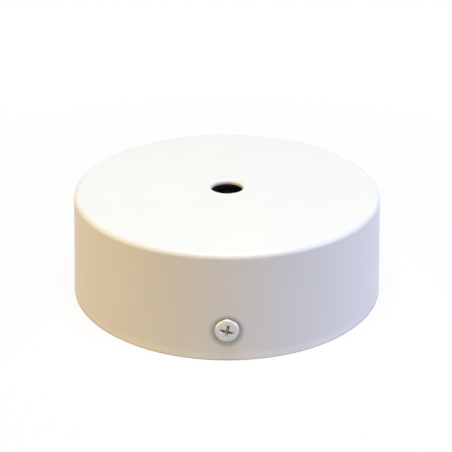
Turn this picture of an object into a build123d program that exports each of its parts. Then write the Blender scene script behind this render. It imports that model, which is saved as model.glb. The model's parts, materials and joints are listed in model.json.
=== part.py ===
"""Ceiling canopy: a drawn sheet-steel cup, held over a ceiling strap by two side screws.

Millimetres. The ceiling is the plane z = 0, and +Z points away from it, into the room.
The side screws lie along Y. Threads are drawn plain, at their nominal diameter.
"""

import os
from math import cos, radians, sqrt, tan

from build123d import *

# Canopy cup: one steel sheet, drawn into a cup that is open at the ceiling
RIM_DIAMETER = 100.0
CUP_HEIGHT = 33.2
CUP_SHEET = 1.0
WALL_DRAFT = 3.0  # degrees, wider at the rim
FACE_BEND_RADIUS = 0.8  # inside the bend between the flat face and the wall
CORD_HOLE_DIAMETER = 10.2
SIDE_HOLE_CLEARANCE = 0.25  # all round, between a side screw and the cup

# Pan-head screws with a cross recess
THREAD_DIAMETER = 4.0
THREAD_CLEARANCE = 0.05  # all round, between a screw and its tapped hole
TIP_CHAMFER = 0.6
HEAD_DIAMETER = 7.2
HEAD_HEIGHT = 1.2
HEAD_SIDE = 0.4  # height of the upright side, below the dome
RECESS_WIDTH = 4.2
RECESS_FLOOR_WIDTH = 1.9
RECESS_WING = 1.0
RECESS_DEPTH = 1.5

# Side screws, as the screwdriver left them
SIDE_SCREW_LENGTH = 8.0
SIDE_SCREW_HEIGHT = 9.8
SIDE_SCREW_SEAT_GAP = 0.02  # the flat head meets the round wall on a line
FRONT_RECESS_TURN = -14.0  # degrees
BACK_RECESS_TURN = 28.0

# Mounting strap: one plated steel strip, with both ends bent away from the ceiling
STRAP_WIDTH = 16.0
STRAP_SHEET = 1.5
STRAP_BEND_RADIUS = 1.2
STRAP_CLEARANCE = 0.3  # between the corners of the bent ends and the cup
LEG_ABOVE_SCREW = 5.5
LEG_CORNER_RADIUS = 3.5
CABLE_HOLE_DIAMETER = 10.5
SLOT_WIDTH = 5.0
SLOT_FROM_CABLE_HOLE = 6.25
SLOT_FROM_EARTH_SCREW = 6.25

# Collars that are drawn out of the strap to give each tapped hole more thread
COLLAR_WALL = 0.75
LEG_COLLAR_HEIGHT = 1.5
EARTH_COLLAR_HEIGHT = 2.0

# Earth terminal on the strap: a screw, a spring washer and a square clamp plate
EARTH_FROM_SIDE_SCREW = 0.4  # a screwdriver still passes the end of the side screw
EARTH_SCREW_LENGTH = 5.0
EARTH_RECESS_TURN = 40.0
WASHER_CLEARANCE = 0.15  # all round, between the screw and its loose washers
CLAMP_SHEET = 0.8
CLAMP_LIP = 1.0  # how far two edges turn down to keep the wire under the plate
CLAMP_LIP_CLEARANCE = 0.4  # between the turned edges and the collar
CLAMP_BEND_RADIUS = 0.3
CLAMP_CORNER_RADIUS = 0.8
SPRING_WASHER_WIDTH = 1.35
SPRING_WASHER_THICKNESS = 0.9
SPRING_WASHER_SLIT = 0.7
SPRING_WASHER_SLANT = 25.0  # degrees


def cup_outside(height):
    """Radius of the outside of the cup's wall at a height above the ceiling plane."""
    return RIM_DIAMETER / 2 - height * tan(radians(WALL_DRAFT))


def cup_inside(height):
    """Radius of the inside of the cup's wall at a height above the ceiling plane."""
    return cup_outside(height) - CUP_SHEET / cos(radians(WALL_DRAFT))


# Radii and places that follow from the sizes above
tapped_radius = THREAD_DIAMETER / 2 + THREAD_CLEARANCE
collar_radius = tapped_radius + COLLAR_WALL
washer_radius = THREAD_DIAMETER / 2 + WASHER_CLEARANCE
clamp_half = collar_radius + CLAMP_LIP_CLEARANCE + CLAMP_SHEET

cup_floor = CUP_HEIGHT - CUP_SHEET
side_seat = cup_outside(SIDE_SCREW_HEIGHT - HEAD_DIAMETER / 2) + SIDE_SCREW_SEAT_GAP
leg_height = SIDE_SCREW_HEIGHT + LEG_ABOVE_SCREW
leg_outside = sqrt(cup_inside(leg_height) ** 2 - (STRAP_WIDTH / 2) ** 2) - STRAP_CLEARANCE
leg_inside = leg_outside - STRAP_SHEET

earth_offset = side_seat - SIDE_SCREW_LENGTH - EARTH_FROM_SIDE_SCREW - HEAD_DIAMETER / 2
earth_collar_top = STRAP_SHEET + EARTH_COLLAR_HEIGHT
clamp_top = earth_collar_top + CLAMP_SHEET
earth_seat = clamp_top + SPRING_WASHER_THICKNESS
lip_end = earth_collar_top - CLAMP_LIP

slot_start = CABLE_HOLE_DIAMETER / 2 + SLOT_FROM_CABLE_HOLE
slot_end = earth_offset - SLOT_FROM_EARTH_SCREW
slot_length = slot_end - slot_start
slot_offset = (slot_start + slot_end) / 2


def corners(section, height):
    """Corners of a section at one height, from left to right."""
    return section.vertices().filter_by_position(Axis.Y, height, height).sort_by(Axis.X)


# Canopy cup
with BuildPart() as canopy_cup:
    with BuildSketch(Plane.XZ) as cup_section:
        with BuildLine():
            Polyline(
                (0, CUP_HEIGHT),
                (cup_outside(CUP_HEIGHT), CUP_HEIGHT),
                (cup_outside(0), 0),
                (cup_inside(0), 0),
                (cup_inside(cup_floor), cup_floor),
                (0, cup_floor),
                close=True,
            )
        make_face()
        fillet(corners(cup_section, CUP_HEIGHT)[-1], FACE_BEND_RADIUS + CUP_SHEET)
        # A flat inside the bend keeps the sheet as thick there as anywhere
        chamfer(corners(cup_section, cup_floor)[-1], FACE_BEND_RADIUS * (2 - sqrt(2)))
    revolve(axis=Axis.Z)
    with Locations((0, 0, CUP_HEIGHT)):
        Hole(CORD_HOLE_DIAMETER / 2, depth=CUP_SHEET)
    with BuildSketch(Plane.XZ):
        with Locations((0, SIDE_SCREW_HEIGHT)):
            Circle(THREAD_DIAMETER / 2 + SIDE_HOLE_CLEARANCE)
    extrude(amount=RIM_DIAMETER, both=True, mode=Mode.SUBTRACT)


# Mounting strap
with BuildPart() as mounting_strap:
    with BuildSketch(Plane.YZ) as strap_section:
        with BuildLine():
            Polyline(
                (leg_outside, leg_height),
                (leg_outside, 0),
                (-leg_outside, 0),
                (-leg_outside, leg_height),
                (-leg_inside, leg_height),
                (-leg_inside, STRAP_SHEET),
                (leg_inside, STRAP_SHEET),
                (leg_inside, leg_height),
                close=True,
            )
        make_face()
        fillet(corners(strap_section, 0), STRAP_BEND_RADIUS + STRAP_SHEET)
        fillet(corners(strap_section, STRAP_SHEET), STRAP_BEND_RADIUS)
    extrude(amount=STRAP_WIDTH / 2, both=True)
    fillet(mounting_strap.edges().filter_by(Axis.Y).group_by(Axis.Z)[-1], LEG_CORNER_RADIUS)

    for side in (-1, 1):
        with BuildSketch(Plane((0, side * leg_inside, SIDE_SCREW_HEIGHT), z_dir=(0, -side, 0))):
            Circle(collar_radius)
        extrude(amount=LEG_COLLAR_HEIGHT)
    with BuildSketch(Plane.XY.offset(STRAP_SHEET)):
        with Locations((0, earth_offset)):
            Circle(collar_radius)
    extrude(amount=EARTH_COLLAR_HEIGHT)

    with BuildSketch(Plane.XZ):
        with Locations((0, SIDE_SCREW_HEIGHT)):
            Circle(tapped_radius)
    extrude(amount=leg_outside, both=True, mode=Mode.SUBTRACT)
    with BuildSketch(Plane.XY):
        with Locations((0, earth_offset)):
            Circle(tapped_radius)
    extrude(amount=earth_collar_top, mode=Mode.SUBTRACT)

    with BuildSketch(Plane.XY):
        Circle(CABLE_HOLE_DIAMETER / 2)
        with Locations((0, -slot_offset), (0, slot_offset)):
            SlotOverall(slot_length, SLOT_WIDTH, rotation=90)
    extrude(amount=STRAP_SHEET, mode=Mode.SUBTRACT)


def pan_head_screw(length, recess_turn):
    """Return a pan-head screw whose head sits on z = 0 and whose thread points down."""
    dome_rise = HEAD_HEIGHT - HEAD_SIDE
    dome_radius = (dome_rise**2 + (HEAD_DIAMETER / 2) ** 2) / (2 * dome_rise)
    with BuildPart() as screw:
        with BuildSketch(Plane.XZ):
            with BuildLine():
                RadiusArc((HEAD_DIAMETER / 2, HEAD_SIDE), (0, HEAD_HEIGHT), -dome_radius)
                Polyline(
                    (0, HEAD_HEIGHT),
                    (0, -length),
                    (THREAD_DIAMETER / 2 - TIP_CHAMFER, -length),
                    (THREAD_DIAMETER / 2, TIP_CHAMFER - length),
                    (THREAD_DIAMETER / 2, 0),
                    (HEAD_DIAMETER / 2, 0),
                    (HEAD_DIAMETER / 2, HEAD_SIDE),
                )
            make_face()
        revolve(axis=Axis.Z)
        for wing_turn in (recess_turn, recess_turn + 90):
            with BuildSketch(Plane.XZ.rotated((0, wing_turn, 0))):
                with BuildLine():
                    Polyline(
                        (-RECESS_WIDTH / 2, HEAD_HEIGHT),
                        (RECESS_WIDTH / 2, HEAD_HEIGHT),
                        (RECESS_FLOOR_WIDTH / 2, HEAD_HEIGHT - RECESS_DEPTH),
                        (-RECESS_FLOOR_WIDTH / 2, HEAD_HEIGHT - RECESS_DEPTH),
                        close=True,
                    )
                make_face()
            extrude(amount=RECESS_WING / 2, both=True, mode=Mode.SUBTRACT)
    return screw.part


front_screw = pan_head_screw(SIDE_SCREW_LENGTH, FRONT_RECESS_TURN)
back_screw = pan_head_screw(SIDE_SCREW_LENGTH, BACK_RECESS_TURN)
terminal_screw = pan_head_screw(EARTH_SCREW_LENGTH, EARTH_RECESS_TURN)


# Side screws: their heads bear on the outside of the cup, on opposite sides
with BuildPart() as side_screws:
    with Locations(Plane((0, -side_seat, SIDE_SCREW_HEIGHT), x_dir=(1, 0, 0), z_dir=(0, -1, 0))):
        add(front_screw)
    with Locations(Plane((0, side_seat, SIDE_SCREW_HEIGHT), x_dir=(-1, 0, 0), z_dir=(0, 1, 0))):
        add(back_screw)


# Earth terminal: clamp plate, spring washer and screw, stacked on the strap's collar
with BuildPart() as earth_clamp_plate:
    with BuildSketch(Plane.XZ.offset(-earth_offset)) as clamp_section:
        with BuildLine():
            Polyline(
                (-clamp_half, clamp_top),
                (clamp_half, clamp_top),
                (clamp_half, lip_end),
                (clamp_half - CLAMP_SHEET, lip_end),
                (clamp_half - CLAMP_SHEET, earth_collar_top),
                (CLAMP_SHEET - clamp_half, earth_collar_top),
                (CLAMP_SHEET - clamp_half, lip_end),
                (-clamp_half, lip_end),
                close=True,
            )
        make_face()
        fillet(corners(clamp_section, clamp_top), CLAMP_BEND_RADIUS + CLAMP_SHEET)
        fillet(corners(clamp_section, earth_collar_top), CLAMP_BEND_RADIUS)
    extrude(amount=clamp_half, both=True)
    lip_corners = earth_clamp_plate.edges().filter_by(Axis.X).group_by(Axis.Z)[0]
    fillet(lip_corners, min(CLAMP_CORNER_RADIUS, CLAMP_LIP * 0.8))
    with Locations((0, earth_offset, clamp_top)):
        Hole(washer_radius, depth=CLAMP_SHEET)

with BuildPart() as earth_spring_washer:
    with BuildSketch(Plane.XY.offset(clamp_top)):
        with Locations((0, earth_offset)):
            Circle(washer_radius + SPRING_WASHER_WIDTH)
            Circle(washer_radius, mode=Mode.SUBTRACT)
    extrude(amount=SPRING_WASHER_THICKNESS)
    slit_middle = (0, earth_offset, clamp_top + SPRING_WASHER_THICKNESS / 2)
    with BuildSketch(Plane(slit_middle, x_dir=(0, 1, 0), z_dir=(1, 0, 0))):
        Rectangle(SPRING_WASHER_SLIT, 3 * SPRING_WASHER_THICKNESS, rotation=SPRING_WASHER_SLANT)
    extrude(amount=washer_radius + 2 * SPRING_WASHER_WIDTH, mode=Mode.SUBTRACT)

with BuildPart() as earth_screw:
    with Locations((0, earth_offset, earth_seat)):
        add(terminal_screw)


# One file for each piece, and one for the two like side screws
os.makedirs("parts", exist_ok=True)
pieces = {
    "canopy_cup": canopy_cup,
    "mounting_strap": mounting_strap,
    "side_screws": side_screws,
    "earth_clamp_plate": earth_clamp_plate,
    "earth_spring_washer": earth_spring_washer,
    "earth_screw": earth_screw,
}
for name, piece in pieces.items():
    piece.part.label = name
    export_step(piece.part, f"parts/{name}.step")
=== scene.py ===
"""Dresses the ceiling canopy: painted cup, side screws, mounting strap, earth terminal and studio."""

import json
import math

import bmesh
import bpy
from bpy.props import FloatProperty, FloatVectorProperty, IntProperty, PointerProperty
from bpy.types import Operator, Panel, PropertyGroup
from mathutils import Matrix, Vector


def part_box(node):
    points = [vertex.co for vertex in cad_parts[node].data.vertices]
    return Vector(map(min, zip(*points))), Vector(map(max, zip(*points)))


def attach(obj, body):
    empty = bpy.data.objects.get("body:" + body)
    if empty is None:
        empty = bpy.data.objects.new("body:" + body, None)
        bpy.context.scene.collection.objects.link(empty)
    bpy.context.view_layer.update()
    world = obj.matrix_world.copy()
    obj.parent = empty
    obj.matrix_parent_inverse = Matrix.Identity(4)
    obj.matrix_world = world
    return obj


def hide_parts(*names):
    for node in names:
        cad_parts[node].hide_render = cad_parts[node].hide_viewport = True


bl_info = {
    "name": "Ceiling Canopy",
    "version": (1, 0, 0),
    "blender": (4, 5, 0),
    "location": "3D View > Sidebar > Canopy",
    "description": "Models a ceiling canopy with its screws, strap and earth terminal, and lights it",
    "category": "Object",
}

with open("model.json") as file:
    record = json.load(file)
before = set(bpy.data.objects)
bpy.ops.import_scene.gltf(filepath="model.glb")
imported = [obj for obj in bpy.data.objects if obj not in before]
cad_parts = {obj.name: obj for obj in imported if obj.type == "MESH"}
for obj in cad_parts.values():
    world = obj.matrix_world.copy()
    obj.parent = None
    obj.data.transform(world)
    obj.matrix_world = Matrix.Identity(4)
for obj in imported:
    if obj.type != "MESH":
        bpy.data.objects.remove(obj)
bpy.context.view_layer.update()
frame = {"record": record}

MM = 0.001
BODY = "root"
CREASE = math.radians(40)
SAME_POINT = 0.0001 * MM
RECESS = "recess"
# Painted shade around the side screws: how far its middle sits below a screw's axis, and how wide it fades
# out
SCREW_SHADE_DROP = 0.4 * MM
SCREW_SHADE_WIDTH = 2.0 * MM
FLOOR_RADIUS = 3000 * MM
SENSOR_WIDTH = 36.0
MOUNTS = {mount["name"]: mount for mount in frame["record"]["mounts"]}
CORD_HOLE = MOUNTS["cord_hole"]["dims"]
CEILING_SLOTS = MOUNTS["ceiling_screws"]["dims"]
CUP_LOW, CUP_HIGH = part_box("canopy_cup")
SCREWS_LOW, SCREWS_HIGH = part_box("side_screws")
STRAP_LOW, STRAP_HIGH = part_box("mounting_strap")
CLAMP_LOW, CLAMP_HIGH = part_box("earth_clamp_plate")
WASHER_LOW, WASHER_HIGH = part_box("earth_spring_washer")
EARTH_LOW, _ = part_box("earth_screw")
SIDE_SCREW_HEIGHT = (SCREWS_LOW.z + SCREWS_HIGH.z) / 2
EARTH_OFFSET = (CLAMP_LOW.y + CLAMP_HIGH.y) / 2


def linear(code):
    """Turn an sRGB hex code into linear red, green and blue."""
    levels = [int(code[i : i + 2], 16) / 255 for i in (0, 2, 4)]
    return tuple(c / 12.92 if c <= 0.04045 else ((c + 0.055) / 1.055) ** 2.4 for c in levels)


def length(name, description, default):
    """Return a property for a length in metres."""
    return FloatProperty(
        name=name,
        description=description,
        default=default,
        min=0.0,
        precision=5,
        subtype="DISTANCE",
        unit="LENGTH",
    )


def angle(name, description, degrees):
    """Return a property for an angle, given in degrees."""
    return FloatProperty(name=name, description=description, default=math.radians(degrees), subtype="ANGLE")


def colour(name, description, code):
    """Return a property for a colour, given as an sRGB hex code."""
    return FloatVectorProperty(
        name=name, description=description, default=linear(code), min=0.0, max=1.0, subtype="COLOR"
    )


def power(name, description, watts):
    """Return a property for a lamp's power in watts."""
    return FloatProperty(name=name, description=description, default=watts, min=0.0, unit="POWER")


def spot(name, description, *place):
    """Return a property for a place in the studio, given in millimetres."""
    default = [axis * MM for axis in place]
    return FloatVectorProperty(name=name, description=description, default=default, subtype="TRANSLATION")


class CupSettings(PropertyGroup):
    """Sizes and paint of the cup"""

    rim_radius: length("Rim radius", "Outside radius at the ceiling", (CUP_HIGH.y - CUP_LOW.y) / 2)
    height: length("Height", "From the ceiling to the closed face", CUP_HIGH.z)
    sheet: length("Sheet", "Thickness of the steel", CORD_HOLE["length_mm"] * MM)
    cord_hole_radius: length("Cord hole radius", "Radius of the hole in the face", CORD_HOLE["r_mm"] * MM)
    cord_hole_edge: length("Cord hole edge", "Rounding of that hole's outside edge", 1.0 * MM)
    cord_hole_drop: length("Cord hole drop", "How far the punch drew that hole's edge in", 0.6 * MM)
    film: length("Paint film", "Thickness of the paint, which narrows the cord hole", 0.1 * MM)
    side_hole_radius: length("Side hole radius", "Radius of the holes for the side screws", 2.25 * MM)
    wall_draft: angle("Wall draft", "How far the wall leans in towards the face", 3.0)
    bend_radius: length("Bend radius", "Outside radius between face and wall", 1.8 * MM)
    edge_radius: length("Edge radius", "Rounding that paint leaves on cut edges", 0.25 * MM)
    rim_band: length("Rim band", "Height of the thick paint along the rim", 3.0 * MM)
    rim_bead: length("Rim bead", "Relief of that paint, drawn strong so that it shows", 0.8 * MM)
    turns: IntProperty(name="Columns", description="Faces around the wall", default=256, min=64, step=4)
    paint: colour("Paint", "White of the powder coat", "F2F2EE")
    peel: length("Orange peel", "Width of one ripple in the paint", 1.6 * MM)


class ScrewSettings(PropertyGroup):
    """Sizes and metals of the side screws and the earth screw"""

    head_radius: length("Head radius", "Outside radius of the pan head", (SCREWS_HIGH.x - SCREWS_LOW.x) / 2)
    head_height: length("Head height", "From the seat to the top of the dome", 1.2 * MM)
    head_side: length("Head side", "From the seat to the edge of the dome", 0.4 * MM)
    head_edge: length("Head edge", "Rounding between the dome and the seat", 1.0 * MM)
    recess_reach: length("Recess reach", "From the middle to the end of a wing", 2.1 * MM)
    recess_floor: length("Recess floor", "From the middle to the end of a wing at the bottom", 0.95 * MM)
    recess_wing: length("Wing", "Width of a wing of the recess", 1.0 * MM)
    recess_depth: length("Recess depth", "From the top of the dome to the bottom", 1.5 * MM)
    recess_lip: length("Recess lip", "Rounding of the recess's edge", 0.45 * MM)
    side_length: length("Side screw length", "Length of thread under a side screw's head", 8.0 * MM)
    front_turn: angle("Front turn", "Turn of the front screw's recess", -14.0)
    back_turn: angle("Back turn", "Turn of the back screw's recess", 28.0)
    earth_turn: angle("Earth turn", "Turn of the earth screw's recess", 40.0)
    thread_radius: length("Thread radius", "Over the thread's crests", 2.0 * MM)
    thread_depth: length("Thread depth", "From crest to root", 0.4 * MM)
    pitch: length("Pitch", "From one crest to the next", 0.7 * MM)
    plating: colour("Plating", "Nickel plating of the side screws", "C5C3BE")
    brass: colour("Brass", "Brass of the earth screw", "C9A35C")


class StrapSettings(PropertyGroup):
    """Sizes and plating of the mounting strap"""

    sheet: length("Sheet", "Thickness of the strip", 1.5 * MM)
    bend_radius: length("Bend radius", "Inside radius of the bent ends", 1.2 * MM)
    corner_radius: length("Corner radius", "Rounding of the ends' corners", 3.5 * MM)
    cable_hole_radius: length("Cable hole radius", "Radius of the hole for the ceiling cable", 5.25 * MM)
    tapped_radius: length("Tapped radius", "Radius of the holes for the screws", 2.05 * MM)
    collar_wall: length("Collar wall", "Thickness of a drawn collar", 0.75 * MM)
    collar_root: length("Collar root", "Rounding where a collar leaves the strip", 0.35 * MM)
    side_collar: length("Side collar", "Height of the collars for the side screws", 1.5 * MM)
    earth_collar: length("Earth collar", "Height of the collar for the earth screw", 2.0 * MM)
    edge_radius: length("Edge radius", "Rounding of the punched edges", 0.15 * MM)
    zinc: colour("Zinc", "Zinc plating of the strap, clamp and washer", "B9BDC0")


class TerminalSettings(PropertyGroup):
    """Sizes of the clamp plate and the spring washer"""

    clamp_sheet: length("Clamp sheet", "Thickness of the clamp plate", 0.8 * MM)
    clamp_bend: length("Clamp bend", "Inside radius of the turned edges", 0.3 * MM)
    clamp_corner: length("Clamp corner", "Rounding of the turned edges' corners", 0.4 * MM)
    hole_radius: length("Hole radius", "Radius of the holes for the earth screw", 2.15 * MM)
    slit: length("Slit", "Width of the spring washer's slit", 0.7 * MM)
    slant: angle("Slant", "Slant of the spring washer's slit", 25.0)
    edge_radius: length("Edge radius", "Rounding of the edges", 0.1 * MM)


class StageSettings(PropertyGroup):
    """Floor, lamps and camera"""

    floor: colour("Floor", "Pale studio floor", "BEBDBB")
    key_power: power("Key power", "Power of the lamp overhead", 2.64)
    left_power: power("Left power", "Power of the warm lamp", 1.4)
    right_power: power("Right power", "Power of the cool lamp", 1.89)
    key_size: length("Key size", "Side of the lamp overhead", 300 * MM)
    side_size: length("Side size", "Side of the warm and the cool lamp", 400 * MM)
    key_place: spot("Key place", "Middle of the lamp overhead", 0, -60, 550)
    left_place: spot("Left place", "Middle of the warm lamp", -500, -260, 200)
    right_place: spot("Right place", "Middle of the cool lamp", 550, -160, 200)
    key_colour: colour("Key colour", "Colour of the lamp overhead", "F7FEFF")
    left_colour: colour("Left colour", "Colour of the warm lamp", "FFC64C")
    right_colour: colour("Right colour", "Colour of the cool lamp", "CED1FF")
    ambient: FloatProperty(name="Ambient", description="Strength of the studio's own light", default=0.06)
    elevation: angle("Elevation", "Camera's angle above the horizon", 25.38)
    azimuth: angle("Azimuth", "Camera's turn about the canopy", -0.03)
    roll: angle("Roll", "Camera's tilt to the side", 0.13)
    distance: length("Distance", "From the camera to the point it looks at", 340.0 * MM)
    aim_height: length("Aim height", "Height of the point that the camera looks at", 19.2 * MM)
    aim_side: FloatProperty(
        name="Aim side", description="Shift of that point", default=-0.3 * MM, unit="LENGTH"
    )
    lens: FloatProperty(name="Lens", description="Focal length in millimetres", default=83.63, unit="CAMERA")


# Meshes


def extrude_loop(bm, loop, place):
    """Extrude a loop of edges, put each new vertex at place(old position), and return the new loop."""
    made = bmesh.ops.extrude_edge_only(bm, edges=loop)["geom"]
    for vertex in made:
        if isinstance(vertex, bmesh.types.BMVert):
            vertex.co = place(vertex.co)
    return [edge for edge in made if isinstance(edge, bmesh.types.BMEdge)]


def on_circle(centre, radius, height):
    """Return a place for extrude_loop: straight out or in to a circle about an upright axis."""

    def place(co):
        out = Vector((co.x - centre.x, co.y - centre.y, 0)).normalized() * radius
        return Vector((centre.x + out.x, centre.y + out.y, height))

    return place


def sharp_edges(bm, keep=lambda edge: True):
    """Return the edges where two faces meet at more than a gentle angle."""
    bm.normal_update()
    return [e for e in bm.edges if e.is_manifold and e.calc_face_angle() > CREASE and keep(e)]


def soften(bm, geometry, radius, segments=3, affect="EDGES"):
    """Round edges or corners off with a bevel."""
    bmesh.ops.bevel(
        bm,
        geom=geometry,
        offset=radius,
        offset_type="OFFSET",
        segments=segments,
        profile=0.5,
        affect=affect,
        material=-1,
    )


def make_piece(bm, name, material, slot, *nodes):
    """Make a smooth-shaded object of a bmesh, on the part's body, in place of its CAD nodes."""
    mesh = bpy.data.meshes.new(name)
    bm.to_mesh(mesh)
    bm.free()
    mesh.shade_smooth()
    mesh.set_sharp_from_angle(angle=CREASE)
    mesh.materials.append(material)
    piece = bpy.data.objects.new(name, mesh)
    bpy.context.scene.collection.objects.link(piece)
    piece.modifiers.new("Even normals", "WEIGHTED_NORMAL").keep_sharp = True
    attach(piece, BODY)
    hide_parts(*nodes)


def cup_mesh(cup):
    """Draw the sheet's outside, spin it round, punch the side holes and give it its thickness."""
    bm = bmesh.new()
    lean = math.tan(cup.wall_draft)
    bend = cup.bend_radius
    bend_height = cup.height - bend
    bend_middle = cup.rim_radius - bend / math.cos(cup.wall_draft) - bend_height * lean
    bend_steps = 10
    column = math.tau * cup.rim_radius / cup.turns
    # A little over two columns, so that rounding errors leave no vertex out
    hole_reach = 2.1 * column
    hole_rows = [SIDE_SCREW_HEIGHT + row * column for row in (6, 4, 3, 2, 1, 0, -1, -2, -3, -4, -6)]

    # From the cord hole over the face, round the bend and down the wall
    edge_of_hole = bm.verts.new((cup.cord_hole_radius - cup.film, 0, cup.height))
    around_hole = bm.verts.new((cup.cord_hole_radius + cup.sheet, 0, cup.height))
    edge_of_face = bm.verts.new((bend_middle, 0, cup.height))
    bm.edges.new((edge_of_hole, around_hole))
    bm.edges.new((around_hole, edge_of_face))
    last = bmesh.ops.spin(
        bm,
        geom=[edge_of_face],
        cent=(bend_middle, 0, bend_height),
        axis=(0, 1, 0),
        angle=math.pi / 2 - cup.wall_draft,
        steps=bend_steps,
    )["geom_last"]
    for height in [*hole_rows, 0]:
        end = [g for g in last if isinstance(g, bmesh.types.BMVert)]
        last = bmesh.ops.extrude_vert_indiv(bm, verts=end)["verts"]
        last[0].co = (cup.rim_radius - height * lean, 0, height)
    bmesh.ops.spin(
        bm,
        geom=[*bm.verts, *bm.edges],
        cent=(0, 0, 0),
        axis=(0, 0, 1),
        angle=math.tau,
        steps=cup.turns,
        use_merge=True,
    )
    bmesh.ops.remove_doubles(bm, verts=bm.verts, dist=column / 1000)

    # Each side hole takes out four rows by four columns, and its edge is then rounded
    def from_screw(co):
        return Vector((co.x, co.z - SIDE_SCREW_HEIGHT))

    def beside_screw(co):
        away = from_screw(co)
        return max(abs(away.x), abs(away.y)) < hole_reach and abs(co.y) > cup.rim_radius / 2

    punched = [f for f in bm.faces if all(beside_screw(v.co) for v in f.verts)]
    bmesh.ops.delete(bm, geom=punched, context="FACES")
    for vertex in bm.verts:
        if vertex.is_boundary and beside_screw(vertex.co):
            x, up = from_screw(vertex.co).normalized() * cup.side_hole_radius
            height = SIDE_SCREW_HEIGHT + up
            out = math.sqrt((cup.rim_radius - height * lean) ** 2 - x**2)
            vertex.co = (x, math.copysign(out, vertex.co.y), height)

    bmesh.ops.recalc_face_normals(bm, faces=bm.faces)
    bm.normal_update()
    bm.faces.ensure_lookup_table()
    highest = max(bm.faces, key=lambda face: face.calc_center_median().z)
    if highest.normal.z < 0:
        bmesh.ops.reverse_faces(bm, faces=bm.faces)
    bmesh.ops.solidify(bm, geom=bm.faces, thickness=cup.sheet)

    # The rim is cut level, and the punch drew the cord hole's inside edge in
    just_below_face = cup.height - cup.film
    for vertex in bm.verts:
        vertex.co.z = max(vertex.co.z, 0)
        if vertex.co.xy.length < cup.cord_hole_radius and vertex.co.z < just_below_face:
            vertex.co.z -= cup.cord_hole_drop

    def on_cord_hole(edge):
        return all(v.co.xy.length < cup.cord_hole_radius and v.co.z > just_below_face for v in edge.verts)

    soften(bm, sharp_edges(bm, on_cord_hole), cup.cord_hole_edge, segments=6)
    soften(bm, sharp_edges(bm), cup.edge_radius)
    return bm


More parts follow.
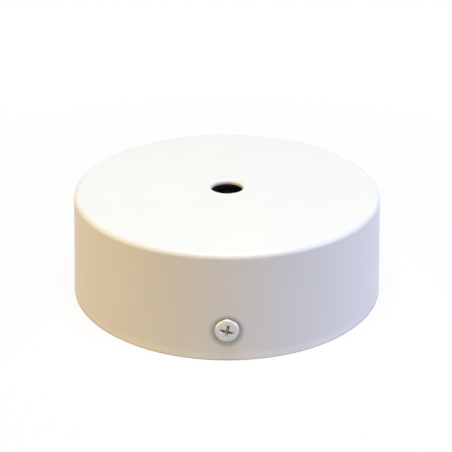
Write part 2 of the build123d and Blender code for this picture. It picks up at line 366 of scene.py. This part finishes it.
def screw_mesh(screw, shank, turn):
    """Make a pan-head screw that stands on the plane z = 0 and whose thread points down."""
    bm = bmesh.new()
    deep = bm.verts.layers.float.new(RECESS)
    axis = Vector((0, 0, 0))
    half = screw.recess_wing / 2
    rise = screw.head_height - screw.head_side
    dome = (rise**2 + screw.head_radius**2) / (2 * rise)
    dome_middle = screw.head_height - dome
    core = screw.thread_radius - screw.thread_depth

    def on_dome(co):
        return Vector((co.x, co.y, dome_middle + math.sqrt(dome**2 - co.x**2 - co.y**2)))

    def below_dome(depth):
        return lambda co: on_dome(co).z - depth

    # Plus-shaped rings from the rounded lip to the floor: half a wing's width, reach, height of each point
    lip_outside = 0.7
    floor_taper = 0.7
    rings = []
    for degrees in (0, 25, 50, 75):
        tilt = math.radians(degrees)
        wider = screw.recess_lip * (lip_outside - math.sin(tilt))
        depth = screw.recess_lip * (1 - math.cos(tilt))
        rings.append((half + wider, screw.recess_reach + wider, below_dome(depth)))
    floor_height = screw.head_height - screw.recess_depth
    rings.append((half * floor_taper, screw.recess_floor, lambda co: floor_height))
    slack = 1.001

    def from_ring(old, new):
        """Return a place for extrude_loop: from a point of one ring to the same point of another."""

        def place(co):
            flat = Vector((0, 0, 0))
            for i in (0, 1):
                size = abs(co[i])
                if size <= old[0] * slack:
                    size *= new[0] / old[0]
                else:
                    size = new[0] + (size - old[0]) / (old[1] - old[0]) * (new[1] - new[0])
                flat[i] = math.copysign(size, co[i])
            flat.z = new[2](flat)
            return flat

        return place

    # The first ring is the outline of a plus, made of a grid without its corners
    inner_line = 1 / 3
    grid_edge = 1.0
    between = 0.5
    bmesh.ops.create_grid(bm, x_segments=3, y_segments=3, size=grid_edge)
    corners = [f for f in bm.faces if min(abs(c) for c in f.calc_center_median().xy) > between]
    bmesh.ops.delete(bm, geom=corners, context="FACES")
    bmesh.ops.delete(bm, geom=bm.faces[:], context="FACES_ONLY")
    inner = [e for e in bm.edges if max(abs(c) for v in e.verts for c in v.co.xy) < between]
    bmesh.ops.delete(bm, geom=inner, context="EDGES")
    bmesh.ops.subdivide_edges(bm, edges=bm.edges[:], cuts=5)
    outline = bm.edges[:]
    on_lip = from_ring((inner_line, grid_edge), rings[0])
    for vertex in bm.verts:
        vertex.co = on_lip(vertex.co)
    floor = outline
    for old, new in zip(rings, rings[1:]):
        floor = extrude_loop(bm, floor, from_ring(old, new))
    # Mark the recess floor, where the metal's colour is painted darker as shade
    for edge in floor:
        for vertex in edge.verts:
            vertex[deep] = 1.0
    bmesh.ops.edgeloop_fill(bm, edges=floor)

    # Out over the dome, round its edge, and back under the head to the core and down to the tip.
    # The seat cuts the round edge off before its widest place, a little past the head's radius.
    spread = 1.02
    round_middle = screw.head_radius * spread - screw.head_edge
    round_height = dome_middle + math.sqrt((dome - screw.head_edge) ** 2 - round_middle**2)
    dome_tilt = math.atan2(round_middle, round_height - dome_middle)
    seat_tilt = math.acos(-round_height / screw.head_edge)
    dome_edge = round_middle + screw.head_edge * math.sin(dome_tilt)
    loop = outline
    steps = 3
    for step in range(1, steps + 1):
        share = 1 / (steps + 1 - step)

        def outwards(co, share=share):
            flat = Vector((co.x, co.y, 0))
            return on_dome(flat.lerp(flat.normalized() * dome_edge, share))

        loop = extrude_loop(bm, loop, outwards)
    steps = 6
    for step in range(1, steps + 1):
        tilt = dome_tilt + (seat_tilt - dome_tilt) * step / steps
        radius = round_middle + screw.head_edge * math.sin(tilt)
        height = round_height + screw.head_edge * math.cos(tilt)
        loop = extrude_loop(bm, loop, on_circle(axis, radius, height))
    tip_radius = core * 0.75
    for radius, height in ((core, 0), (core, core - tip_radius - shank), (tip_radius, -shank)):
        loop = extrude_loop(bm, loop, on_circle(axis, radius, height))
    bmesh.ops.edgeloop_fill(bm, edges=loop)
    bmesh.ops.recalc_face_normals(bm, faces=bm.faces)

    # The thread is one ridge that winds down the core and dies away at the tip
    foot = core - 0.05 * MM
    crest = screw.thread_radius
    profile = ((foot, 0), (crest, 0.375), (crest, 0.5), (foot, 0.875))
    ridge = [bm.verts.new((radius, 0, screw.pitch * share - shank)) for radius, share in profile]
    section = bm.faces.new(ridge)
    before = set(bm.verts) - set(ridge)
    left_out_under_head = 1.3
    steps_per_winding = 36
    windings = shank / screw.pitch - left_out_under_head
    steps = int(windings * steps_per_winding)
    bmesh.ops.spin(
        bm,
        geom=[*ridge, *section.edges, section],
        cent=(0, 0, 0),
        axis=(0, 0, 1),
        dvec=(0, 0, windings * screw.pitch / steps),
        angle=math.tau * windings,
        steps=steps,
    )
    wound = [v for v in bm.verts if v not in before]
    for vertex in wound:
        flat = Vector((vertex.co.x, vertex.co.y, 0))
        limit = min(flat.length, tip_radius + vertex.co.z + shank)
        vertex.co = flat.normalized() * limit + Vector((0, 0, vertex.co.z))
    bmesh.ops.recalc_face_normals(bm, faces=list({f for v in wound for f in v.link_faces}))
    bmesh.ops.transform(bm, matrix=Matrix.Rotation(turn, 4, "Z"), verts=bm.verts)
    return bm


def joined(parts):
    """Return one bmesh of several, each with the matrix that puts it in place."""
    whole = bmesh.new()
    for bm, matrix in parts:
        bmesh.ops.transform(bm, matrix=matrix, verts=bm.verts)
        mesh = bpy.data.meshes.new("part of a piece")
        bm.to_mesh(mesh)
        bm.free()
        whole.from_mesh(mesh)
        bpy.data.meshes.remove(mesh)
    return whole


def folded_sheet(width, half_length, corner, sheet, edge, holes, bend_radius, fold_start, collar=None):
    """Punch a strip that lies along Y, draw its collars, and fold both ends up.

    holes holds (place along the flat strip, radius, length of the slot, collar height) for each hole.
    """
    bm = bmesh.new()
    signs = ((-1, -1), (1, -1), (1, 1), (-1, 1))
    plate = [bm.verts.new((x * width / 2, y * half_length, 0)) for x, y in signs]
    bm.faces.new(plate)
    soften(bm, plate, corner, segments=6, affect="VERTICES")
    bmesh.ops.delete(bm, geom=bm.faces[:], context="FACES_ONLY")
    segments = 48
    half_step = Matrix.Rotation(math.pi / segments, 4, "Z")
    for place, radius, slot, height in holes:
        if height:
            radius += collar.collar_wall + collar.collar_root
        ring = bmesh.ops.create_circle(bm, segments=segments, radius=radius, matrix=half_step)["verts"]
        for vertex in ring:
            vertex.co.y += place + math.copysign(max(slot / 2 - radius, 0), vertex.co.y)
    bmesh.ops.triangle_fill(bm, use_beauty=True, edges=bm.edges)
    bend_middle = bend_radius + sheet / 2
    bend_length = math.pi / 2 * bend_middle
    bend_steps = 8
    for side in (-1, 1):
        for step in range(bend_steps + 1):
            line = side * (fold_start + bend_length * step / bend_steps)
            everything = [*bm.verts, *bm.edges, *bm.faces]
            bmesh.ops.bisect_plane(
                bm, geom=everything, dist=SAME_POINT, plane_co=(0, line, 0), plane_no=(0, 1, 0)
            )
    bmesh.ops.recalc_face_normals(bm, faces=bm.faces)
    bm.normal_update()
    bm.faces.ensure_lookup_table()
    if bm.faces[0].normal.z < 0:
        bmesh.ops.reverse_faces(bm, faces=bm.faces)
    bmesh.ops.solidify(bm, geom=bm.faces, thickness=sheet)
    bmesh.ops.translate(bm, vec=(0, 0, sheet / 2), verts=bm.verts)

    drawn = [(Vector((0, place, 0)), radius, height) for place, radius, slot, height in holes if height]

    def on_collar(edge):
        """Tell whether an edge lies within two radii of a hole that gets a collar."""
        return any(
            (v.co.xy - centre.xy).length < radius * 2 for v in edge.verts for centre, radius, _ in drawn
        )

    soften(bm, sharp_edges(bm, keep=lambda e: not on_collar(e)), edge)
    for centre, radius, height in drawn:
        draw_collar(bm, centre, radius, height, sheet, edge, collar)

    # Fold: past the start of a bend, length along the strip becomes turn, then height
    for vertex in bm.verts:
        side = math.copysign(1, vertex.co.y)
        along = abs(vertex.co.y) - fold_start
        if along <= 0:
            continue
        turn = min(along / bend_middle, math.pi / 2)
        straight = max(along - bend_length, 0)
        reach = bend_middle - vertex.co.z
        vertex.co.y = side * (fold_start + reach * math.sin(turn))
        vertex.co.z = bend_middle - reach * math.cos(turn) + straight
    bmesh.ops.translate(bm, vec=(0, 0, sheet / 2), verts=bm.verts)
    return bm


def draw_collar(bm, centre, radius, height, sheet, edge, collar):
    """Turn a punched hole into a collar that is drawn up out of the sheet."""
    outside = radius + collar.collar_wall
    root = collar.collar_root
    wide = outside + root
    slack = wide / 200

    def from_middle(vertex):
        return (vertex.co.xy - centre.xy).length

    def on_punched_wall(face):
        upright = abs(face.normal.z) < 0.5
        return upright and all(abs(from_middle(v) - wide) < slack for v in face.verts)

    wall = [f for f in bm.faces if on_punched_wall(f)]
    bmesh.ops.delete(bm, geom=wall, context="FACES_ONLY")
    rims = [e for e in bm.edges if e.is_boundary and all(from_middle(v) < wide + slack for v in e.verts)]
    loop = [e for e in rims if e.verts[0].co.z > 0]

    # Up the rounded root, over the collar's top, down its hole and out along the sheet's underside
    steps = 4
    rings = []
    for step in range(1, steps + 1):
        turn = math.pi / 2 * step / steps
        rings.append((wide - root * math.sin(turn), sheet / 2 + root * (1 - math.cos(turn))))
    top = sheet / 2 + height
    bottom = -sheet / 2
    chamfer = 2 * edge
    bulge = 0.6 * edge
    rings += [(outside, top - chamfer), (outside - bulge, top - bulge), (outside - chamfer, top)]
    rings += [(radius + chamfer, top), (radius, top - chamfer), (radius, bottom + chamfer)]
    rings += [(radius + chamfer, bottom), (wide, bottom)]
    for ring_radius, ring_height in rings:
        loop = extrude_loop(bm, loop, on_circle(centre, ring_radius, ring_height))
    bmesh.ops.remove_doubles(bm, verts=bm.verts, dist=SAME_POINT)
    bmesh.ops.recalc_face_normals(bm, faces=bm.faces)


def strap_mesh(strap):
    """Make the strap flat, as it is punched, and fold its ends."""
    bend_outside = strap.bend_radius + strap.sheet
    fold_start = STRAP_HIGH.y - bend_outside
    bend_length = math.pi / 2 * (strap.bend_radius + strap.sheet / 2)
    half_length = fold_start + bend_length + STRAP_HIGH.z - bend_outside
    side_hole = fold_start + bend_length + SIDE_SCREW_HEIGHT - bend_outside
    slot = CEILING_SLOTS["slot_length_mm"] * MM
    slot_radius = CEILING_SLOTS["hole_r_mm"] * MM
    slot_place = CEILING_SLOTS["spacing_y_mm"] / 2 * MM
    holes = [
        (0, strap.cable_hole_radius, 0, 0),
        (-slot_place, slot_radius, slot, 0),
        (slot_place, slot_radius, slot, 0),
        (-side_hole, strap.tapped_radius, 0, strap.side_collar),
        (side_hole, strap.tapped_radius, 0, strap.side_collar),
        (EARTH_OFFSET, strap.tapped_radius, 0, strap.earth_collar),
    ]
    return folded_sheet(
        STRAP_HIGH.x - STRAP_LOW.x,
        half_length,
        strap.corner_radius,
        strap.sheet,
        strap.edge_radius,
        holes,
        strap.bend_radius,
        fold_start,
        strap,
    )


def clamp_mesh(terminal):
    """Make the clamp plate with its edges folded up, then turn it over onto the collar."""
    bend_outside = terminal.clamp_bend + terminal.clamp_sheet
    half = (CLAMP_HIGH.x - CLAMP_LOW.x) / 2
    fold_start = half - bend_outside
    bend_length = math.pi / 2 * (terminal.clamp_bend + terminal.clamp_sheet / 2)
    half_length = fold_start + bend_length + CLAMP_HIGH.z - CLAMP_LOW.z - bend_outside
    bm = folded_sheet(
        CLAMP_HIGH.y - CLAMP_LOW.y,
        half_length,
        terminal.clamp_corner,
        terminal.clamp_sheet,
        terminal.edge_radius,
        [(0, terminal.hole_radius, 0, 0)],
        terminal.clamp_bend,
        fold_start,
    )
    over = Matrix.Rotation(math.pi / 2, 4, "Z") @ Matrix.Rotation(math.pi, 4, "X")
    place = Matrix.Translation((0, EARTH_OFFSET, CLAMP_HIGH.z))
    bmesh.ops.transform(bm, matrix=place @ over, verts=bm.verts)
    return bm


def washer_mesh(terminal):
    """Spin the spring washer's section almost all the way round and slant its two ends."""
    bm = bmesh.new()
    outside = (WASHER_HIGH.y - WASHER_LOW.y) / 2
    middle = (outside + terminal.hole_radius) / 2
    thick = WASHER_HIGH.z - WASHER_LOW.z
    gap = terminal.slit / middle
    near_slit = 0.75 * gap
    sides = ((terminal.hole_radius, 0), (outside, 0), (outside, thick), (terminal.hole_radius, thick))
    section = bm.faces.new([bm.verts.new((r, 0, z)) for r, z in sides])
    bmesh.ops.rotate(bm, cent=(0, 0, 0), matrix=Matrix.Rotation(gap / 2, 3, "Z"), verts=bm.verts)
    bmesh.ops.spin(
        bm,
        geom=[*section.verts, *section.edges, section],
        cent=(0, 0, 0),
        axis=(0, 0, 1),
        angle=math.tau - gap,
        steps=64,
    )
    for vertex in bm.verts:
        around = math.atan2(vertex.co.y, vertex.co.x)
        if abs(around) < near_slit:
            lean = (vertex.co.z - thick / 2) * math.tan(terminal.slant) / middle
            vertex.co = Matrix.Rotation(lean, 3, "Z") @ vertex.co
    bmesh.ops.recalc_face_normals(bm, faces=bm.faces)
    soften(bm, sharp_edges(bm), terminal.edge_radius)
    bmesh.ops.translate(bm, vec=(0, EARTH_OFFSET, WASHER_LOW.z), verts=bm.verts)
    return bm


# Materials


def add_node(tree, kind, inputs=None, **settings):
    """Add a node, apply its settings, and set or link its inputs."""
    made = tree.nodes.new(kind)
    for name, value in settings.items():
        setattr(made, name, value)
    for name, value in (inputs or {}).items():
        if isinstance(value, bpy.types.NodeSocket):
            tree.links.new(value, made.inputs[name])
        else:
            made.inputs[name].default_value = value
    return made


def new_material(name):
    """Return a material with its node tree emptied but for the output, and that tree."""
    material = bpy.data.materials.new(name)
    material.use_nodes = True
    tree = material.node_tree
    for old in tree.nodes[:]:
        if old.type != "OUTPUT_MATERIAL":
            tree.nodes.remove(old)
    return material, tree


def close(tree, shader):
    """Link a shader to the material's output."""
    output = next(n for n in tree.nodes if n.type == "OUTPUT_MATERIAL")
    tree.links.new(shader, output.inputs["Surface"])


def shade(base, factor):
    """Return a colour times a factor, with an alpha of one."""
    return (*(c * factor for c in base), 1.0)


def powder_coat(paint, peel, screw_shade_start, rim_band, rim_bead):
    """White polyester powder coat, baked on steel: satin, with the soft ripple called orange peel and a
    painted shade around the side screws.
    """
    material, tree = new_material("White powder coat")
    place = add_node(tree, "ShaderNodeTexCoord").outputs["Object"]
    ripple = add_node(tree, "ShaderNodeTexNoise", {"Vector": place, "Scale": 1 / peel, "Detail": 2.0})
    # Grains of powder are about 0.05 mm, drawn at 0.3 mm so that they show
    grain = add_node(tree, "ShaderNodeTexNoise", {"Vector": place, "Scale": 1 / (0.3 * MM), "Detail": 1.0})
    cloud = add_node(tree, "ShaderNodeTexNoise", {"Vector": place, "Scale": 1 / (22 * MM), "Detail": 3.0})
    # Painted shade: the paint darkens in a ring around each side screw, most of it below, standing in for the
    # heads' contact shadow
    from_screw = add_node(
        tree,
        "ShaderNodeVectorMath",
        {0: place, 1: (1, 0, 1), 2: (0, 0, SCREW_SHADE_DROP - SIDE_SCREW_HEIGHT)},
        operation="MULTIPLY_ADD",
    )
    away = add_node(tree, "ShaderNodeVectorMath", {0: from_screw.outputs["Vector"]}, operation="LENGTH")
    screw_shade = add_node(
        tree,
        "ShaderNodeMapRange",
        {
            "Value": away.outputs["Value"],
            "From Min": screw_shade_start,
            "From Max": screw_shade_start + SCREW_SHADE_WIDTH,
            "To Min": 0.6,
            "To Max": 1.0,
        },
        interpolation_type="SMOOTHSTEP",
    )
    tint = add_node(tree, "ShaderNodeValToRGB", {"Fac": cloud.outputs["Fac"]})
    tint.color_ramp.elements[0].position = 0.3
    tint.color_ramp.elements[0].color = shade(paint, 0.975)
    tint.color_ramp.elements[1].position = 0.7
    tint.color_ramp.elements[1].color = shade(paint, 1.0)
    shaded_tint = add_node(
        tree,
        "ShaderNodeVectorMath",
        {0: tint.outputs["Color"], 1: screw_shade.outputs["Result"]},
        operation="MULTIPLY",
    )
    gloss = add_node(
        tree, "ShaderNodeMapRange", {"Value": cloud.outputs["Fac"], "To Min": 0.36, "To Max": 0.46}
    )
    fine = add_node(
        tree, "ShaderNodeBump", {"Height": grain.outputs["Fac"], "Strength": 0.1, "Distance": 0.01 * MM}
    )
    # Charged powder gathers along a free edge, so the film is thick and rounded there
    height = add_node(tree, "ShaderNodeSeparateXYZ", {"Vector": place}).outputs["Z"]
    low = add_node(
        tree, "ShaderNodeMapRange", {"Value": height, "From Max": rim_band, "To Min": 1.0, "To Max": 0.0}
    )
    thick = add_node(tree, "ShaderNodeMath", {0: low.outputs["Result"], 1: 2.0}, operation="POWER")
    bead = add_node(
        tree,
        "ShaderNodeBump",
        {"Height": thick.outputs["Value"], "Distance": rim_bead, "Normal": fine.outputs["Normal"]},
    )
    bump = add_node(
        tree,
        "ShaderNodeBump",
        {
            "Height": ripple.outputs["Fac"],
            "Strength": 0.3,
            "Distance": 0.03 * MM,
            "Normal": bead.outputs["Normal"],
        },
    )
    surface = add_node(
        tree,
        "ShaderNodeBsdfPrincipled",
        {
            "Base Color": shaded_tint.outputs["Vector"],
            "Roughness": gloss.outputs["Result"],
            "IOR": 1.5,
            "Normal": bump.outputs["Normal"],
        },
    )
    close(tree, surface.outputs["BSDF"])
    return material


def plated_metal(name, base, rough, grain, stretch, dull):
    """Metal with a grain: streaks along the strip where stretch is large, even specks where it is 1.

    A screw's recess is painted darker towards its floor, down to half the colour at the bottom: painted
    shade.
    """
    material, tree = new_material(name)
    place = add_node(tree, "ShaderNodeTexCoord").outputs["Object"]
    along = add_node(tree, "ShaderNodeMapping", {"Vector": place, "Scale": (1, 1 / stretch, 1)})
    streak = add_node(
        tree, "ShaderNodeTexNoise", {"Vector": along.outputs["Vector"], "Scale": 1 / grain, "Detail": 3.0}
    )
    cloud = add_node(tree, "ShaderNodeTexNoise", {"Vector": place, "Scale": 1 / (5 * MM), "Detail": 4.0})
    tint = add_node(tree, "ShaderNodeValToRGB", {"Fac": cloud.outputs["Fac"]})
    tint.color_ramp.elements[0].position = 0.25
    tint.color_ramp.elements[0].color = shade(base, dull)
    tint.color_ramp.elements[1].position = 0.7
    tint.color_ramp.elements[1].color = shade(base, 1.0)
    spread = 0.07
    gloss = add_node(
        tree,
        "ShaderNodeMapRange",
        {
            "Value": streak.outputs["Fac"],
            "From Min": 0.3,
            "From Max": 0.7,
            "To Min": rough - spread,
            "To Max": rough + spread,
        },
    )
    bump = add_node(
        tree, "ShaderNodeBump", {"Height": streak.outputs["Fac"], "Strength": 0.25, "Distance": 0.015 * MM}
    )
    deep = add_node(tree, "ShaderNodeAttribute", attribute_name=RECESS).outputs["Fac"]
    # Painted shade: the base colour darkens towards the floor of a screw's recess
    recess_shade = add_node(
        tree,
        "ShaderNodeMapRange",
        {"Value": deep, "From Min": 0.7, "From Max": 1.0, "To Min": 1.0, "To Max": 0.5},
    )
    plating = add_node(
        tree,
        "ShaderNodeVectorMath",
        {0: tint.outputs["Color"], 1: recess_shade.outputs["Result"]},
        operation="MULTIPLY",
    )
    surface = add_node(
        tree,
        "ShaderNodeBsdfPrincipled",
        {
            "Base Color": plating.outputs["Vector"],
            "Metallic": 1.0,
            "Roughness": gloss.outputs["Result"],
            "Normal": bump.outputs["Normal"],
        },
    )
    close(tree, surface.outputs["BSDF"])
    return material


def nickel(base):
    """Nickel plating on cold-headed steel: bright, with the fine specks of the forming dies."""
    return plated_metal("Nickel-plated steel", base, rough=0.46, grain=0.25 * MM, stretch=1, dull=0.9)


def zinc(base):
    """Zinc plating on rolled strip: satin, with streaks along the strip and dull clouds."""
    return plated_metal("Zinc-plated steel", base, rough=0.42, grain=0.2 * MM, stretch=25, dull=0.82)


def brass(base):
    """Turned brass: yellow and bright, with a light tarnish in clouds."""
    return plated_metal("Brass", base, rough=0.3, grain=0.25 * MM, stretch=1, dull=0.8)


def seen_rays(tree):
    """Return a socket that is 1 for rays by which the camera sees a thing, also in metal or glass."""
    path = add_node(tree, "ShaderNodeLightPath").outputs
    direct = {0: path["Is Camera Ray"], 1: path["Is Glossy Ray"]}
    mirrored = add_node(tree, "ShaderNodeMath", direct, operation="MAXIMUM")
    either = {0: mirrored.outputs[0], 1: path["Is Transmission Ray"]}
    return add_node(tree, "ShaderNodeMath", either, operation="MAXIMUM").outputs[0]


def studio_floor(paint, rim):
    """Matt pale floor that shows white around the canopy, in metal too, and keeps a soft shadow."""
    material, tree = new_material("Pale studio floor")
    place = add_node(tree, "ShaderNodeTexCoord").outputs["Object"]
    away = add_node(tree, "ShaderNodeVectorMath", {0: place}, operation="LENGTH").outputs["Value"]
    around = add_node(tree, "ShaderNodeMath", {0: away, 1: rim}, operation="GREATER_THAN").outputs[0]
    white_part = {0: seen_rays(tree), 1: around}
    share = add_node(tree, "ShaderNodeMath", white_part, operation="MULTIPLY").outputs[0]
    matt = add_node(tree, "ShaderNodeBsdfDiffuse", {"Color": (*paint, 1.0)}).outputs["BSDF"]
    glow = add_node(tree, "ShaderNodeEmission", {"Color": (1, 1, 1, 1), "Strength": 1.0}).outputs["Emission"]
    # Near the canopy a share of the white is lit by the lamps, and so it shows the shadow
    sheet = add_node(tree, "ShaderNodeBsdfDiffuse", {"Color": (0.95, 0.95, 0.95, 1.0)}).outputs["BSDF"]
    far = {"Value": away, "From Min": rim, "From Max": 4 * rim, "To Min": 0.85, "To Max": 1.0}
    fade = add_node(tree, "ShaderNodeMapRange", far).outputs["Result"]
    white = add_node(tree, "ShaderNodeMixShader", {"Fac": fade, 1: sheet, 2: glow}).outputs["Shader"]
    mixed = add_node(tree, "ShaderNodeMixShader", {"Fac": share, 1: matt, 2: white}).outputs["Shader"]
    close(tree, mixed)
    return material


def studio_world(ambient):
    """Soft even light all round, white to the camera and in reflections."""
    world = bpy.data.worlds.new("Studio")
    bpy.context.scene.world = world
    world.use_nodes = True
    tree = world.node_tree
    strength = add_node(
        tree, "ShaderNodeMapRange", {"Value": seen_rays(tree), "To Min": ambient, "To Max": 1.0}
    )
    background = next(n for n in tree.nodes if n.type == "BACKGROUND")
    background.inputs["Color"].default_value = (1, 1, 1, 1)
    tree.links.new(strength.outputs["Result"], background.inputs["Strength"])


# Operators


class CANOPY_OT_cup(Operator):
    """Model the painted cup in place of its CAD node"""

    bl_idname = "canopy.cup"
    bl_label = "Painted cup"

    def execute(self, context):
        cup = context.scene.canopy_cup
        head_radius = context.scene.canopy_screws.head_radius
        paint = powder_coat(cup.paint, cup.peel, head_radius, cup.rim_band, cup.rim_bead)
        make_piece(cup_mesh(cup), "painted_cup", paint, "white_powder_coat", "canopy_cup")
        return {"FINISHED"}


class CANOPY_OT_side_screws(Operator):
    """Model both side screws, with thread and cross recess"""

    bl_idname = "canopy.side_screws"
    bl_label = "Side screws"

    def execute(self, context):
        screw = context.scene.canopy_screws
        lying = Matrix.Rotation(math.pi / 2, 4, "X")
        seat = SCREWS_HIGH.y - screw.head_height
        front = Matrix.Translation((0, -seat, SIDE_SCREW_HEIGHT)) @ lying
        back = Matrix.Rotation(math.pi, 4, "Z") @ front
        pair = joined(
            [
                (screw_mesh(screw, screw.side_length, screw.front_turn), front),
                (screw_mesh(screw, screw.side_length, screw.back_turn), back),
            ]
        )
        make_piece(pair, "threaded_side_screws", nickel(screw.plating), "nickel_plated_steel", "side_screws")
        return {"FINISHED"}


class CANOPY_OT_strap(Operator):
    """Model the mounting strap with its folds, slots and drawn collars"""

    bl_idname = "canopy.strap"
    bl_label = "Mounting strap"

    def execute(self, context):
        strap = context.scene.canopy_strap
        plating = zinc(strap.zinc)
        make_piece(strap_mesh(strap), "folded_strap", plating, "zinc_plated_steel", "mounting_strap")
        return {"FINISHED"}


class CANOPY_OT_earth_terminal(Operator):
    """Model the earth terminal: clamp plate, spring washer and brass screw"""

    bl_idname = "canopy.earth_terminal"
    bl_label = "Earth terminal"

    def execute(self, context):
        terminal = context.scene.canopy_terminal
        screw = context.scene.canopy_screws
        plating = bpy.data.materials["Zinc-plated steel"]
        make_piece(clamp_mesh(terminal), "folded_clamp", plating, "zinc_plated_steel", "earth_clamp_plate")
        make_piece(washer_mesh(terminal), "split_washer", plating, "zinc_plated_steel", "earth_spring_washer")
        shank = WASHER_HIGH.z - EARTH_LOW.z
        upright = Matrix.Translation((0, EARTH_OFFSET, WASHER_HIGH.z))
        bolt = joined([(screw_mesh(screw, shank, screw.earth_turn), upright)])
        make_piece(bolt, "threaded_earth_screw", brass(screw.brass), "brass", "earth_screw")
        return {"FINISHED"}


class CANOPY_OT_stage(Operator):
    """Lay the floor, hang the lamps and set up the camera"""

    bl_idname = "canopy.stage"
    bl_label = "Stage"

    def execute(self, context):
        stage = context.scene.canopy_stage
        scene = context.scene
        scene.view_settings.view_transform = "Standard"
        studio_world(stage.ambient)

        bm = bmesh.new()
        bmesh.ops.create_circle(bm, cap_ends=True, segments=64, radius=FLOOR_RADIUS)
        mesh = bpy.data.meshes.new("studio_floor")
        bm.to_mesh(mesh)
        bm.free()
        mesh.materials.append(studio_floor(stage.floor, scene.canopy_cup.rim_radius))
        floor = bpy.data.objects.new("studio_floor", mesh)
        scene.collection.objects.link(floor)

        aim = Vector((0, 0, CUP_HIGH.z / 2))
        self.lamp("key_lamp", stage.key_power, stage.key_colour, stage.key_size, stage.key_place, aim)
        self.lamp("warm_lamp", stage.left_power, stage.left_colour, stage.side_size, stage.left_place, aim)
        self.lamp("cool_lamp", stage.right_power, stage.right_colour, stage.side_size, stage.right_place, aim)

        camera = bpy.data.objects.new("camera", bpy.data.cameras.new("camera"))
        camera.data.sensor_width = SENSOR_WIDTH
        camera.data.lens = stage.lens
        camera.data.clip_start = 10 * MM
        place = Vector(
            (
                stage.aim_side,
                -stage.distance * math.cos(stage.elevation),
                stage.distance * math.sin(stage.elevation) + stage.aim_height,
            )
        )
        about = Matrix.Rotation(stage.azimuth, 4, "Z")
        tilt = Matrix.Rotation(math.pi / 2 - stage.elevation, 4, "X")
        roll = Matrix.Rotation(stage.roll, 4, "Z")
        camera.matrix_world = about @ Matrix.Translation(place) @ tilt @ roll
        scene.collection.objects.link(camera)
        scene.camera = camera
        return {"FINISHED"}

    def lamp(self, name, watts, tint, size, place, aim):
        """Hang a square soft lamp that points at the canopy."""
        data = bpy.data.lights.new(name, "AREA")
        data.energy = watts
        data.color = tint
        data.size = size
        lamp = bpy.data.objects.new(name, data)
        lamp.location = place
        lamp.rotation_euler = (aim - lamp.location).to_track_quat("-Z", "Y").to_euler()
        bpy.context.scene.collection.objects.link(lamp)


class CANOPY_PT_pieces(Panel):
    """Lists the pieces and their settings"""

    bl_label = "Ceiling canopy"
    bl_idname = "CANOPY_PT_pieces"
    bl_space_type = "VIEW_3D"
    bl_region_type = "UI"
    bl_category = "Canopy"

    def draw(self, context):
        for operator, settings in STEPS:
            box = self.layout.box()
            box.operator(operator.bl_idname)
            group = getattr(context.scene, settings)
            for name in group.__annotations__:
                box.prop(group, name)


SETTINGS = {
    "canopy_cup": CupSettings,
    "canopy_screws": ScrewSettings,
    "canopy_strap": StrapSettings,
    "canopy_terminal": TerminalSettings,
    "canopy_stage": StageSettings,
}
STEPS = (
    (CANOPY_OT_cup, "canopy_cup"),
    (CANOPY_OT_side_screws, "canopy_screws"),
    (CANOPY_OT_strap, "canopy_strap"),
    (CANOPY_OT_earth_terminal, "canopy_terminal"),
    (CANOPY_OT_stage, "canopy_stage"),
)
CLASSES = (*SETTINGS.values(), *(operator for operator, _ in STEPS), CANOPY_PT_pieces)


def register():
    """Register the classes and put their settings on the scene."""
    for cls in CLASSES:
        bpy.utils.register_class(cls)
    for name, group in SETTINGS.items():
        setattr(bpy.types.Scene, name, PointerProperty(type=group))


def unregister():
    """Take the settings off the scene and the classes out again."""
    for name in SETTINGS:
        delattr(bpy.types.Scene, name)
    for cls in reversed(CLASSES):
        bpy.utils.unregister_class(cls)


def main():
    """Build every piece and the stage."""
    register()
    bpy.ops.canopy.cup()
    bpy.ops.canopy.side_screws()
    bpy.ops.canopy.strap()
    bpy.ops.canopy.earth_terminal()
    bpy.ops.canopy.stage()


if __name__ == "__main__":
    main()
